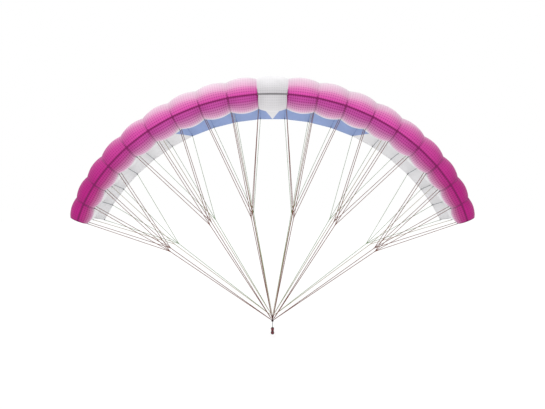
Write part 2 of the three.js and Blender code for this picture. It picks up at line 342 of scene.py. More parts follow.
class Canopy:
    """Rib lines along the span, and the cloth between two of them."""

    def __init__(self, sizes):
        self.sizes = sizes
        right = np.cumsum(CELL_WIDTHS) - CELL_WIDTHS[0] / 2
        self.stations = np.concatenate([-right[::-1], right])
        self.half_span = right[-1]

    def out_share(self, station):
        """How far out a place along the span is, from 0 in the middle to 1 at the tip."""
        return np.abs(station) / self.half_span

    def chord_at(self, station):
        """Chord of the rib line at a place along the span."""
        return self.sizes.root_chord * np.sqrt(1 - (self.sizes.taper * self.out_share(station)) ** 2)

    def lean(self, station):
        """How far the rib line leans from straight up."""
        s = self.sizes
        turn = s.curl_power * s.tip_curl / self.half_span * self.out_share(station) ** (s.curl_power - 1)
        return station / s.arch_radius + np.sign(station) * turn

    def edge(self, station):
        """The leading edge: across, aft and up."""
        s = self.sizes
        out = self.out_share(station)
        angle = station / s.arch_radius
        radius = s.arch_radius - s.tip_curl * out**s.curl_power
        lead = s.tip_sweep * out**s.sweep_power - s.lead_ahead
        return radius * np.sin(angle), lead, radius * np.cos(angle) + s.arch_height

    def rib_point(self, station, wrap, out=0.0):
        """A point of the rib outline, moved out of the skin by a distance."""
        x, y = section(wrap)
        forward, up = section_normal(wrap)
        chord, lean = self.chord_at(station), self.lean(station)
        across, aft, rise = self.edge(station)
        height = y * chord + up * out
        back = aft + x * chord + forward * out
        return stacked(across + height * np.sin(lean), back, rise + height * np.cos(lean))

    def cloth(self, cell, across, wrap, out=0.0):
        """A point of the cloth of a cell, counted from the left tip."""
        s = self.sizes
        first, last = self.stations[cell], self.stations[cell + 1]
        from_edge = wrap * UPPER_SECTION[0] * s.root_chord
        tuck = 1 - s.nose_tuck * np.exp(-((from_edge / s.tuck_reach) ** 2))
        full = 4 * across * (1 - across) * (1 - np.abs(wrap) ** BILLOW_FLATTENING) * tuck
        rise = s.billow * self.width(cell) * full + out
        lean = mixed(self.lean(first), self.lean(last), across)
        forward, up = section_normal(wrap)
        outward = stacked(up * np.sin(lean), forward, up * np.cos(lean))
        line = mixed(self.rib_point(first, wrap), self.rib_point(last, wrap), np.expand_dims(across, -1))
        return line + outward * np.expand_dims(rise, -1)

    def width(self, cell):
        """Width of a cell along the leading edge."""
        return self.stations[cell + 1] - self.stations[cell]

    def chord(self, cell, across):
        """Chord at a place across a cell."""
        return self.chord_at(mixed(self.stations[cell], self.stations[cell + 1], across))

    def span_share(self, cell, across):
        """How far out a place across a cell is, from 0 in the middle to 1 at the tip."""
        return self.out_share(mixed(self.stations[cell], self.stations[cell + 1], across))

    def panel(self, cell, across, arc):
        """Points, cloth marks and span marks of a panel, across its cell and round its outline."""
        wrap = wrap_at(arc)
        points = self.cloth(cell, across, wrap, self.relief(cell, across, wrap))
        marks = (across * self.width(cell), arc * self.chord(cell, across))
        return points, marks, (self.span_share(cell, across), across)

    def relief(self, cell, across, wrap):
        """Puckers along the sewn edges, and creases under the nose towards the tips."""
        width = self.width(cell)
        arc = arc_at(wrap) * self.chord(cell, across)
        edge = np.minimum(across, 1 - across) * width / PUCKER_REACH
        ripple = np.sin(2 * math.pi * arc / PUCKER_PITCH + GOLDEN * cell)
        height = PUCKER_DEPTH * edge * np.exp(1 - edge) * ripple * (1 - np.abs(wrap) ** BILLOW_FLATTENING)
        fade = np.sin(math.pi * np.clip(across, 0, 1)) * self.span_share(cell, across) ** 2
        for place, slope in CREASES:
            away = (arc - place - slope * (across - 0.5) * width) / CREASE_WIDTH
            height = height - CREASE_DEPTH * fade * np.exp(-away * away)
        return height


def cell_name(cell):
    """Name of a cell, counted from the left tip."""
    out = cell - OUTER_CELLS
    if out == 0:
        return "mid"
    return f"{'left' if out < 0 else 'right'}_{abs(out)}"


def rib_name(rib):
    """Name of a rib, counted from the left tip."""
    count = len(CELL_WIDTHS)
    return f"left_{count - rib}" if rib < count else f"right_{rib - count + 1}"


def rib_index(side, number):
    """Place of a rib counted from the left tip, by its side and its number from the middle."""
    count = len(CELL_WIDTHS)
    return count - number if side == "left" else count - 1 + number


# Meshes


def pick(*pieces):
    """Selects these pieces alone, the first of them active."""
    bpy.ops.object.select_all(action="DESELECT")
    for piece in pieces:
        piece.select_set(True)
    bpy.context.view_layer.objects.active = pieces[0]


def edit_all(operator, **settings):
    """Runs one edit-mode operator on the whole of the active piece."""
    bpy.ops.object.mode_set(mode="EDIT")
    bpy.ops.mesh.select_all(action="SELECT")
    operator(**settings)
    bpy.ops.object.mode_set(mode="OBJECT")


def write_uv(mesh, name, values):
    """A UV map from one pair of numbers to a vertex."""
    layer = mesh.uv_layers.new(name=name)
    corners = np.zeros(len(mesh.loops), np.int32)
    mesh.loops.foreach_get("vertex_index", corners)
    layer.data.foreach_set("uv", np.asarray(values, np.float32)[corners].ravel())


def grid_sheet(name, grid, place, *materials):
    """A flat grid moved onto the form. place gives points, cloth marks in metres and span marks
    for shares of the grid's width and length."""
    bpy.ops.mesh.primitive_grid_add(x_subdivisions=grid[0], y_subdivisions=grid[1], size=1.0)
    piece = bpy.context.object
    piece.name = piece.data.name = name
    mesh = piece.data
    for material in materials:
        mesh.materials.append(material)
    flat = np.zeros(len(mesh.vertices) * 3, np.float32)
    mesh.vertices.foreach_get("co", flat)
    flat = flat.reshape(-1, 3).astype(float) + 0.5
    points, cloth_marks, span_marks = place(flat[:, 0], flat[:, 1])
    mesh.vertices.foreach_set("co", points.astype(np.float32).ravel())
    while mesh.uv_layers:
        mesh.uv_layers.remove(mesh.uv_layers[0])
    write_uv(mesh, "Cloth", stacked(*cloth_marks))
    write_uv(mesh, "Span", stacked(*span_marks))
    mesh.update()
    edit_all(bpy.ops.mesh.remove_doubles, threshold=MERGE_DISTANCE)
    return piece


def thicken(piece, thickness, offset):
    """Gives a sheet its thickness: offset -1 goes in from its face and 1 goes out. The new face
    takes the sheet's last material."""
    modifier = piece.modifiers.new("Thickness", "SOLIDIFY")
    modifier.thickness = thickness
    modifier.offset = offset
    modifier.material_offset = len(piece.data.materials) - 1
    bpy.ops.object.modifier_apply(modifier=modifier.name)
    bpy.ops.object.shade_smooth_by_angle(angle=SMOOTH_CLOTH)


def grid_area(points):
    """Area of a grid of points, by the cross product of each quad's diagonals."""
    one = points[1:, 1:] - points[:-1, :-1]
    two = points[1:, :-1] - points[:-1, 1:]
    return np.linalg.norm(np.cross(one, two), axis=2).sum() / 2


def cut_of(place):
    """The rectangle that a panel's flat cut fits in, and the cut's area. The billow is cut into
    the panel's width."""
    steps = np.linspace(0, 1, CUT_SAMPLES)
    s, t = (grid.ravel() for grid in np.meshgrid(steps, steps))
    points, marks, _ = place(s, t)
    across, along = (np.broadcast_to(mark, s.shape) for mark in marks)
    square = (CUT_SAMPLES, CUT_SAMPLES, 3)
    area = grid_area(points.reshape(square))
    pattern = grid_area(stacked(across, along, 0 * s).reshape(square))
    width, run = np.ptp(across) * area / pattern, np.ptp(along)
    return (float(width), float(run)), float(area)


def finish_piece(piece, slot, *nodes):
    """Gives a piece its body and hides the nodes that it replaces. Its slot is not used."""
    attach(piece, BODY)
    if nodes:
        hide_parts(*nodes)


class Bundle:
    """Round strands and flat webbing gathered into one mesh."""

    def __init__(self):
        self.points = []
        self.faces = []
        self.marks = []
        self.slots = []

    def sweep(self, path, outline, marks, scales=1.0, side=None, slot=0):
        """Carries an outline of (aside, up) places with their marks along a path, with one scale
        or one for each point."""
        path = [Vector(point) for point in path]
        scales = np.broadcast_to(scales, len(path)).tolist()
        start, around = len(self.points), len(outline)
        run = 0.0
        for k, point in enumerate(path):
            ahead = (path[min(k + 1, len(path) - 1)] - path[max(k - 1, 0)]).normalized()
            side = ahead.orthogonal() if side is None else Vector(side)
            side = (side - ahead * side.dot(ahead)).normalized()
            up = ahead.cross(side)
            run += (point - path[k - 1]).length if k else 0.0
            self.points += [tuple(point + scales[k] * (side * a + up * b)) for a, b in outline]
            self.marks += [(mark, run) for mark in marks]
        last = len(self.points) - around
        for low, j in product(range(start, last, around), range(around)):
            after = (j + 1) % around
            self.faces.append((low + j, low + after, low + around + after, low + around + j))
        self.faces.append(tuple(start + j for j in reversed(range(around))))
        self.faces.append(tuple(last + j for j in range(around)))
        self.slots += [slot] * (len(self.faces) - len(self.slots))

    def strand(self, path, radius, sides, slot=0):
        """A round strand along a path, with one radius or one for each point."""
        turns = [2 * math.pi * j / sides for j in range(sides)]
        outline = [(math.cos(turn), math.sin(turn)) for turn in turns]
        self.sweep(path, outline, [2 * abs(j / sides - 0.5) for j in range(sides)], radius, slot=slot)

    def webbing(self, path, side, width, thickness):
        """A flat strip along a path, as wide along side."""
        corners = ((-1, -1), (1, -1), (1, 1), (-1, 1))
        outline = [(a * width / 2, b * thickness / 2) for a, b in corners]
        self.sweep(path, outline, [aside for aside, _ in outline], side=side)

    def wind(self, centre, axis, start, spokes, lifts, turns, strand, sides, slot=0):
        """A strand wound round an axis from a start direction. spokes and lifts are its distances
        from the axis and along it."""
        other = axis.cross(start)
        angles = np.linspace(0, 2 * math.pi * turns, len(lifts))
        path = []
        for spoke, lift, angle in zip(spokes.tolist(), lifts.tolist(), angles.tolist()):
            path.append(centre + axis * lift + spoke * (start * math.cos(angle) + other * math.sin(angle)))
        self.strand(path, strand, sides, slot)

    def coil(self, centre, axis, radius, strand, turns, rise, slot=0):
        """An even coil of thread with its middle at centre."""
        steps = int(turns * COIL_STEPS) + 1
        lifts = np.linspace(-rise / 2, rise / 2, steps)
        start = axis.orthogonal().normalized()
        self.wind(centre, axis, start, np.full(steps, radius), lifts, turns, strand, WHIP_SIDES, slot)

    def ball(self, centre, radius, strand, slot=0):
        """A round knot of cord, wound from pole to pole."""
        wound = radius - strand
        turns = wound * (math.pi - 2 * BALL_POLE) / (2 * strand)
        down = np.linspace(BALL_POLE, math.pi - BALL_POLE, int(turns * COIL_STEPS) + 1)
        spokes, lifts = wound * np.sin(down), wound * np.cos(down)
        up, aside = Vector((0.0, 0.0, 1.0)), Vector((1.0, 0.0, 0.0))
        self.wind(centre, up, aside, spokes, lifts, turns, strand, CORD_SIDES, slot)

    def build(self, name, *materials):
        """The gathered mesh as a piece."""
        mesh = bpy.data.meshes.new(name)
        mesh.from_pydata(self.points, [], self.faces)
        mesh.polygons.foreach_set("material_index", self.slots)
        write_uv(mesh, "Cloth", self.marks)
        for material in materials:
            mesh.materials.append(material)
        piece = bpy.data.objects.new(name, mesh)
        bpy.context.scene.collection.objects.link(piece)
        pick(piece)
        edit_all(bpy.ops.mesh.normals_make_consistent, inside=False)
        bpy.ops.object.shade_smooth_by_angle(angle=SMOOTH_CORD)
        return piece


# Finishes


class Nodes:
    """A node tree, built up node by node."""

    def __init__(self, tree):
        self.tree = tree

    def add(self, kind, **settings):
        """A node with its settings."""
        node = self.tree.nodes.new(kind)
        for name, value in settings.items():
            setattr(node, name, value)
        return node

    def feed(self, socket, value):
        """Links a socket, or sets it."""
        if isinstance(value, bpy.types.NodeSocket):
            self.tree.links.new(value, socket)
        elif hasattr(value, "__len__") and len(value) == 3 and socket.type == "RGBA":
            socket.default_value = (*value, 1.0)
        else:
            socket.default_value = value

    def parts(self, vector):
        """The three numbers of a vector."""
        split = self.add("ShaderNodeSeparateXYZ")
        self.feed(split.inputs[0], vector)
        return split.outputs[:3]

    def math(self, operation, first, second=0.0):
        """One sum."""
        node = self.add("ShaderNodeMath", operation=operation)
        self.feed(node.inputs[0], first)
        self.feed(node.inputs[1], second)
        return node.outputs[0]

    def ranged(self, value, low, high, to_low=0.0, to_high=1.0, smooth=True):
        """A value carried from one range to another, held at both ends."""
        node = self.add("ShaderNodeMapRange", interpolation_type="SMOOTHSTEP" if smooth else "LINEAR")
        for socket, given in zip(node.inputs, (value, low, high, to_low, to_high)):
            self.feed(socket, given)
        return node.outputs[0]


class Finish(Nodes):
    """One procedural material."""

    def __init__(self, name):
        self.material = bpy.data.materials.new(name)
        self.material.use_nodes = True
        super().__init__(self.material.node_tree)
        self.tree.nodes.clear()
        self.shader = self.add("ShaderNodeBsdfPrincipled")
        self.feed(self.add("ShaderNodeOutputMaterial").inputs["Surface"], self.shader.outputs["BSDF"])

    def set(self, **values):
        """Feeds the shader's own sockets, by names with underscores for spaces."""
        for name, value in values.items():
            self.feed(self.shader.inputs[name.replace("_", " ")], value)
        return self

    def marks(self, name):
        """The two numbers of a UV map."""
        return self.parts(self.add("ShaderNodeUVMap", uv_map=name).outputs[0])[:2]

    def ramp(self, value, stops):
        """A value read through a table of (place, level) stops."""
        node = self.add("ShaderNodeValToRGB")
        table = node.color_ramp.elements
        while len(table) < len(stops):
            table.new(1.0)
        for stop, (place, level) in zip(table, stops):
            stop.position = place
            stop.color = (level, level, level, 1.0)
        self.feed(node.inputs[0], value)
        return node.outputs[0]

    def mix(self, part, first, last):
        """A colour between two others."""
        node = self.add("ShaderNodeMix", data_type="RGBA")
        self.feed(node.inputs["Factor"], part)
        for name, value in (("A", first), ("B", last)):
            socket = next(i for i in node.inputs if i.name == name and i.type == "RGBA")
            self.feed(socket, value)
        return next(o for o in node.outputs if o.type == "RGBA")

    def scaled(self, base, level):
        """A colour made lighter or darker."""
        node = self.add("ShaderNodeHueSaturation")
        self.feed(node.inputs["Value"], level)
        self.feed(node.inputs["Color"], base)
        return node.outputs[0]

    def noise(self, scale, detail=2.0):
        """Soft noise over the piece's own space."""
        node = self.add("ShaderNodeTexNoise")
        self.feed(node.inputs["Vector"], self.add("ShaderNodeTexCoord").outputs["Object"])
        self.feed(node.inputs["Scale"], scale)
        self.feed(node.inputs["Detail"], detail)
        return node.outputs["Fac"]

    def bumped(self, height, depth):
        """Small relief from a height between 0 and 1, that many metres deep."""
        node = self.add("ShaderNodeBump")
        self.feed(node.inputs["Distance"], depth)
        self.feed(node.inputs["Height"], height)
        return self.set(Normal=node.outputs[0])

    def repeat(self, value, pitch):
        """Distance from the middle of each repeat of a pattern, 0 to 0.5."""
        share = self.math("FRACT", self.math("DIVIDE", value, pitch))
        return self.math("ABSOLUTE", self.math("SUBTRACT", share, 0.5))


# Of each kind of surface: how fine its unevenness is, its roughness from low to high, its specular
# level and the depth of its relief
SURFACES = {
    "cloth": (40.0, (0.5, 0.64), 0.2, 0.00025),
    "tape": (60.0, (0.6, 0.78), 0.3, 0.0003),
    "braid": (80.0, (0.5, 0.68), 0.35, 0.0004),
    "foam": (35.0, (0.75, 0.9), 0.12, 0.0003),
    "plastic": (60.0, (0.5, 0.34), 0.45, 0.00012),
}
NOISE_SPREAD = (0.3, 0.7)  # most of a noise lies between these
# Cloth, its tones as shares of the colour
RIPSTOP_PITCH = 0.005
RIPSTOP_THREAD = (0.42, 0.48)  # of the pitch, from the middle between two threads
HALFTONE_PITCH = (0.0195, 0.0185)  # along the span and round the nose
HALFTONE_DOT = (0.18, 0.40)
HALFTONE_TONE = 0.42  # of the deepest ink
MOTTLE_SCALE = 9.0
MOTTLE_TONE = (0.95, 1.02)
THREAD_TONE = 0.92
# Painted shade towards the rib seams and a painted highlight in the middle of each cell: where it runs,
# then its tones
PAINTED_SEAM_SHADE_REACH = (0.1, 0.5)  # from the middle of a cell, of its width
PAINTED_SEAM_SHADE_TONE = (1.02, 0.94)
SHEEN = {"Sheen_Weight": 0.03, "Sheen_Roughness": 0.4}
# Sewing
STITCH_WIDTH = (0.0003, 0.0007)  # half a thread, to where its edge ends
STITCH_DASH = (0.28, 0.34)
SEAM_ROW = 0.0045  # from the rib seam
SEAM_CELL = CELL_WIDTHS[SLANT_CELL]  # stands for the width of every cell along that row
SEAM_PITCH = 0.006
SEAM_RELIEF = 2.0
TAPE_ROW = 0.32  # of the tape's width, from its middle
TAPE_PITCH = 0.0045
TWILL_PITCH = 0.0012
TWILL_DARK = (0.3, 0.6)  # how much of it, and its tone
TWILL_RELIEF = 0.6
THREAD_LIGHT = (1.9, 0.02)  # tone of the stitches on a tape, and what is added to it
# Sheaths, foam and plastic
BRAID_STRANDS = 3.0
BRAID_EDGE = 0.6
BRAID_DARK = 0.55
PORE_SCALE = 900.0
PORE_EDGE = (0.35, 0.6)
PORE_DARK = 0.6
GRAIN_SCALE = 1400.0
FINE_DETAIL = 3.0
WEAR_DETAIL = 4.0
# Rubbed patches: two limits of the noise and how much lighter tone shows at each, then that tone
# and what is added to it
FOAM_WEAR = (0.5, 0.75, 0.0, 0.5)
FOAM_LIGHT = (1.35, 0.01)
PLASTIC_WEAR = (0.5, 0.72, 0.0, 0.6)
PLASTIC_LIGHT = (1.5, 0.01)


def tinted(base, scale, lift=0.0):
    """A colour made lighter or darker."""
    return tuple(min(1.0, part * scale + lift) for part in base)


def surfaced(finish, kind, base, height):
    """Gives a finish its colour, and the gloss and relief of its kind."""
    scale, roughness, specular, depth = SURFACES[kind]
    uneven = finish.ranged(finish.noise(scale), *NOISE_SPREAD, *roughness, False)
    finish.set(Base_Color=base, Roughness=uneven, Specular_IOR_Level=specular)
    return finish.bumped(height, depth).material


def ripstop(finish, across, along):
    """The raised threads of the ripstop grid, from 0 between them to 1 on them."""
    far = finish.math("MAXIMUM", finish.repeat(across, RIPSTOP_PITCH), finish.repeat(along, RIPSTOP_PITCH))
    return finish.ranged(far, *RIPSTOP_THREAD)


def halftone(finish, across, along):
    """The printed dots, from 0 between them to 1 on them."""
    first = finish.repeat(across, HALFTONE_PITCH[0])
    second = finish.repeat(along, HALFTONE_PITCH[1])
    squares = finish.math("ADD", finish.math("POWER", first, 2.0), finish.math("POWER", second, 2.0))
    return finish.ranged(finish.math("SQRT", squares), *HALFTONE_DOT, 1.0, 0.0)


def stitches(finish, aside, along, pitch):
    """A row of stitches, from 0 between them to 1 on them: aside is the distance from the row."""
    row = finish.ranged(finish.math("ABSOLUTE", aside), *STITCH_WIDTH, 1.0, 0.0)
    return finish.math("MULTIPLY", row, finish.ranged(finish.repeat(along, pitch), *STITCH_DASH, 1.0, 0.0))


def cloth_surface(finish, base):
    """The tone, gloss and relief that every coated ripstop cloth here has: the ripstop grid, and a stitched
    row along the rib seams. Painted shade darkens the cloth towards the rib seams, and a painted highlight
    lightens the middle of each cell."""
    across, along = finish.marks("Cloth")
    threads = ripstop(finish, across, along)
    from_middle = finish.math("ABSOLUTE", finish.math("SUBTRACT", finish.marks("Span")[1], 0.5))
    to_seam = finish.math("SUBTRACT", 0.5, from_middle)
    from_seam = finish.math("MULTIPLY", to_seam, SEAM_CELL)
    sewn = stitches(finish, finish.math("SUBTRACT", from_seam, SEAM_ROW), along, SEAM_PITCH)
    mottled = finish.ranged(finish.noise(MOTTLE_SCALE, FINE_DETAIL), *NOISE_SPREAD, *MOTTLE_TONE, False)
    woven = finish.ranged(finish.math("MAXIMUM", threads, sewn), 0.0, 1.0, 1.0, THREAD_TONE, False)
    # painted shade near the rib seams and a painted highlight in the middle of each cell
    painted_seam_shade = finish.ranged(from_middle, *PAINTED_SEAM_SHADE_REACH, *PAINTED_SEAM_SHADE_TONE)
    tone = finish.math("MULTIPLY", finish.math("MULTIPLY", mottled, woven), painted_seam_shade)
    height = finish.math("ADD", threads, finish.math("MULTIPLY", sewn, SEAM_RELIEF))
    return surfaced(finish.set(**SHEEN), "cloth", finish.scaled(base, tone), height)


def printed_cloth(name, colours):
    """Ripstop printed round the leading edge. Its deeper ink towards the tips and its darker ink under the
    nose are partly painted shade.
    """
    design = PRINTS[name]
    pale, full, deep = (getattr(colours, ink) for ink in design["inks"])
    middle, longer = design["reach"]
    finish = Finish(name)
    across, arc = finish.marks("Cloth")
    out = finish.marks("Span")[0]
    tipwards = finish.math("POWER", out, REACH_POWER)
    far = finish.math("ADD", finish.math("MULTIPLY", tipwards, longer), middle)
    density = finish.ramp(finish.math("DIVIDE", finish.math("ABSOLUTE", arc), far), design["stops"])
    # darker ink towards the tips: partly print, partly painted shade
    tipped = finish.mix(finish.ranged(out, *DEEP_SPAN), full, deep)
    ink = finish.mix(finish.ranged(density, *FULL_INK), pale, tipped)
    base = finish.mix(density, colours.white, ink)
    dots = finish.math("MULTIPLY", halftone(finish, across, arc), density)
    strength = finish.math("MULTIPLY", dots, design["dots"])
    return cloth_surface(finish, finish.mix(strength, base, tinted(deep, HALFTONE_TONE)))


def plain_cloth(name, base):
    """Ripstop dyed in one colour."""
    return cloth_surface(Finish(name), base)


def webbing_finish(name, base, width, far=None, reach=1.0):
    """Woven tape with a row of stitches along each edge. It can fade to another colour along a
    reach from its start."""
    finish = Finish(name)
    across, along = finish.marks("Cloth")
    amount, tone = TWILL_DARK
    dark, light = tinted(base, tone), tinted(base, *THREAD_LIGHT)
    if far is not None:
        faded = finish.ranged(finish.math("ABSOLUTE", along), 0.0, reach)
        base, dark, light = (finish.mix(faded, near, far) for near in (base, dark, light))
    twill = finish.repeat(finish.math("ADD", across, along), TWILL_PITCH)
    from_row = finish.math("SUBTRACT", finish.math("ABSOLUTE", across), width * TAPE_ROW)
    stitch = stitches(finish, from_row, along, TAPE_PITCH)
    woven = finish.mix(finish.ranged(twill, 0.0, 0.5, 0.0, amount), base, dark)
    height = finish.math("ADD", finish.math("MULTIPLY", twill, TWILL_RELIEF), stitch)
    return surfaced(finish, "tape", finish.mix(stitch, woven, light), height)


def braid_finish(name, base, pitch):
    """A braided sheath, its strands crossing round the line."""
    finish = Finish(name)
    around, along = finish.marks("Cloth")
    turns = finish.math("MULTIPLY", around, BRAID_STRANDS)
    rise = finish.math("DIVIDE", along, pitch)
    one, two = (finish.repeat(finish.math(lay, turns, rise), 1.0) for lay in ("ADD", "SUBTRACT"))
    strands = finish.math("MULTIPLY", finish.math("MULTIPLY", one, two), 4.0)
    base = finish.mix(finish.ranged(strands, 0.0, BRAID_EDGE), tinted(base, BRAID_DARK), base)
    return surfaced(finish, "braid", base, strands)


def worn(finish, kind, base, light, wear):
    """A colour with lighter patches where it is rubbed, as coarse as the kind's unevenness."""
    patches = finish.noise(SURFACES[kind][0], WEAR_DETAIL)
    return finish.mix(finish.ranged(patches, *wear), base, light)


def foam_finish(name, base):
    """Closed-cell foam: fine pores and a little wear."""
    finish = Finish(name)
    pores = finish.noise(PORE_SCALE, FINE_DETAIL)
    tone = finish.mix(finish.ranged(pores, *PORE_EDGE), tinted(base, PORE_DARK), base)
    return surfaced(finish, "foam", worn(finish, "foam", tone, tinted(base, *FOAM_LIGHT), FOAM_WEAR), pores)


def moulded_finish(name, base):
    """Moulded plastic with a fine grain and rubbed patches."""
    finish = Finish(name)
    rubbed = worn(finish, "plastic", base, tinted(base, *PLASTIC_LIGHT), PLASTIC_WEAR)
    return surfaced(finish, "plastic", rubbed, finish.noise(GRAIN_SCALE))


# Prints: their inks where they fade, where they are full and towards the tips, the ink by distance
# from the leading edge as shares of the reach, the reach in the middle of the span and how much
# longer it is at the tip, and the strength of the dots
PRINTS = {
    "printed_ripstop_upper": {
        "inks": ("magenta", "magenta", "deep"),
        "stops": ((0, 1), (0.08, 0.98), (0.2, 0.83), (0.32, 0.54), (0.51, 0.36), (0.68, 0.26), (1, 0)),
        "reach": (0.27, 4.0),
        "dots": 0.45,
    },
    # Partly painted shade: under the nose the ink is darker than over it, most of all next to the leading
    # edge
    "printed_ripstop_lower": {
        "inks": ("pale_under", "under", "deep"),
        "stops": ((0, 1), (0.22, 0.97), (0.36, 0.84), (0.55, 0.62), (0.74, 0.3), (0.87, 0.04), (0.95, 0)),
        "reach": (0.2, -0.01),
        "dots": 0.65,
    },
    "white_ripstop": {
        "inks": ("shade", "shade", "shade"),
        "stops": ((0, 1), (0.12, 0.9), (0.5, 0.45), (1, 0)),
        "reach": (0.19, 0.0),
        "dots": 0.25,
    },
}
REACH_POWER = 5.0  # how late along the span a print's reach grows
# The ink deepens towards the tips partly as print and partly as painted shade
DEEP_SPAN = (0.4, 0.9)  # where along the half span the ink deepens
FULL_INK = (0.4, 0.95)  # how thick the print is where its ink turns from pale to full


def made_once(name, make, *given):
    """A finish that several pieces share."""
    return bpy.data.materials.get(name) or make(name, *given)


def skin_faces(colours, cell, side):
    """The finishes of an upper or lower panel: printed outside and bare inside."""
    name = "white_ripstop" if cell == OUTER_CELLS else f"printed_ripstop_{side}"
    return made_once(name, printed_cloth, colours), made_once("bare_ripstop", plain_cloth, colours.white)


# Pieces


def upper_patch(canopy, cell, across_range, start, end):
    """Places a patch of the upper skin: start and end give shares of the chord by the share of
    the way across its cell from the inner rib."""

    def place(s, t):
        across = mixed(*across_range, s)
        inner = across if cell >= OUTER_CELLS else 1 - across
        low, high = (arc_at(np.sqrt(seam(inner))) for seam in (start, end))
        return canopy.panel(cell, across, mixed(low, high, t))

    return place


def level(value):
    """A seam straight across a cell."""
    return lambda inner: np.full_like(inner, value)


def slanted(inner):
    """The slanted end of the blue, from the trailing edge out towards the tail seam."""
    return mixed(1.0, SLANT_END, inner)


def tongue(inner):
    """The end of the white tongue in the middle cell."""
    return mixed(TONGUE_SHOULDER, 1.0, 1 - np.abs(2 * inner - 1))


def cloth_panel(canopy, name, grid, place, faces, slot, rests_on, *nodes):
    """One panel cut from cloth with the materials of its outer and inner faces, sewn in under
    tension."""
    piece = grid_sheet(name, grid, place, *faces)
    thicken(piece, canopy.sizes.cloth, -1)
    finish_piece(piece, slot, *nodes)
    flat, area = cut_of(place)
    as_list(rests_on)


def ribs_of(cell):
    """Names of the two rib pieces that a cell hangs on."""
    return [f"rib_cloth_{rib_name(cell)}", f"rib_cloth_{rib_name(cell + 1)}"]


class PARAWING_OT_ribs(bpy.types.Operator):
    """Cut the twenty ribs"""

    bl_idname = "parawing.ribs"
    bl_label = "Ribs"

    def execute(self, context):
        sizes = context.scene.parawing_canopy
        canopy = Canopy(sizes)
        material = made_once("rib_ripstop", plain_cloth, context.scene.parawing_colours.white)
        inset = -(SKIN + SEWING_GAP)

        def place(station, s, t):
            low = canopy.rib_point(station, -np.sqrt(s * s * sizes.lower_end), inset)
            high = canopy.rib_point(station, np.sqrt(s * s * sizes.rib_end), inset)
            points = mixed(low, high, np.expand_dims(t, -1))
            height = np.hypot(points[:, 0], points[:, 2] - sizes.arch_height)
            return points, (points[:, 1], height), (s, t)

        for rib, station in enumerate(canopy.stations):
            name = rib_name(rib)
            rib_place = partial(place, station)
            piece = grid_sheet(f"rib_cloth_{name}", RIB_GRID, rib_place, material)
            thicken(piece, sizes.rib_cloth, 0)
            finish_piece(piece, "rib_cloth", f"rib_{name}")
            flat, area = cut_of(rib_place)
        return {"FINISHED"}


class PARAWING_OT_upper_skin(bpy.types.Operator):
    """Sew the upper skin: white and printed panels with a blue tail"""

    bl_idname = "parawing.upper_skin"
    bl_label = "Upper skin"

    def execute(self, context):
        scene = context.scene
        canopy = Canopy(scene.parawing_canopy)
        blue = [made_once("blue_ripstop", plain_cloth, scene.parawing_colours.blue)]
        whole = (0.0, 1.0)
        seam, tail = level(TAIL_SEAM), level(1.0)
        for cell in range(CELL_COUNT):
            name, out = cell_name(cell), abs(cell - OUTER_CELLS)
            node = f"upper_panel_{name}"
            white = skin_faces(scene.parawing_colours, cell, "upper")
            slot = "printed_cloth" if out else "white_cloth"

            def patch(label, grid, span, start, end, faces, patch_slot, cell=cell, node=node):
                place = upper_patch(canopy, cell, span, start, end)
                cloth_panel(canopy, label, grid, place, faces, patch_slot, ribs_of(cell), node)

            if out == 0:
                patch("upper_cloth_mid", UPPER_GRID, whole, level(0.0), tongue, white, slot)
                patch("blue_tail_mid_left", TAIL_GRID, (0.0, 0.5), tongue, tail, blue, "blue_cloth")
                patch("blue_tail_mid_right", TAIL_GRID, (0.5, 1.0), tongue, tail, blue, "blue_cloth")
            elif out <= BLUE_CELLS:
                patch(f"upper_cloth_{name}", UPPER_GRID, whole, level(0.0), seam, white, slot)
                patch(f"blue_tail_{name}", TAIL_GRID, whole, seam, tail, blue, "blue_cloth")
            elif out == SLANT_CELL:
                patch(f"upper_cloth_{name}", UPPER_GRID, whole, level(0.0), seam, white, slot)
                patch(f"blue_tail_{name}", TAIL_GRID, whole, seam, slanted, blue, "blue_cloth")
                patch(f"white_tail_{name}", TAIL_GRID, whole, slanted, tail, white, slot)
            else:
                patch(f"upper_cloth_{name}", UPPER_GRID, whole, level(0.0), tail, white, slot)
        return {"FINISHED"}


class PARAWING_OT_lower_skin(bpy.types.Operator):
    """Sew the lower skin of the nose"""

    bl_idname = "parawing.lower_skin"
    bl_label = "Lower skin"

    def execute(self, context):
        scene = context.scene
        canopy = Canopy(scene.parawing_canopy)
        end = arc_at(-math.sqrt(scene.parawing_canopy.lower_end))

        def place(cell, s, t):
            return canopy.panel(cell, s, mixed(end, 0.0, t))

        for cell in range(CELL_COUNT):
            name = cell_name(cell)
            slot = "white_cloth" if cell == OUTER_CELLS else "printed_cloth"
            node = f"lower_skin_{name.split('_')[0]}"
            faces = skin_faces(scene.parawing_colours, cell, "lower")
            panel = (f"lower_cloth_{name}", LOWER_GRID, partial(place, cell), faces, slot)
            cloth_panel(canopy, *panel, ribs_of(cell), node)
        return {"FINISHED"}


def beside_rib(canopy, rib, offset, wrap, out):
    """Points of the cloth at a distance to the left or right of a rib."""
    points = canopy.rib_point(canopy.stations[rib], wrap, out)
    for cell, first in ((rib - 1, False), (rib, True)):
        if 0 <= cell < CELL_COUNT:
            across = np.clip(offset / canopy.width(cell) + (0 if first else 1), 0, 1)
            side = offset > 0 if first else offset < 0
            points = np.where(np.expand_dims(side, -1), canopy.cloth(cell, across, wrap, out), points)
    return points


NOSE_SEAM = (-0.17, 0.045)  # how far the taped rib seams run under and over the nose
NOSE_SEAM_TIP = 0.11  # how much further over it at the tips
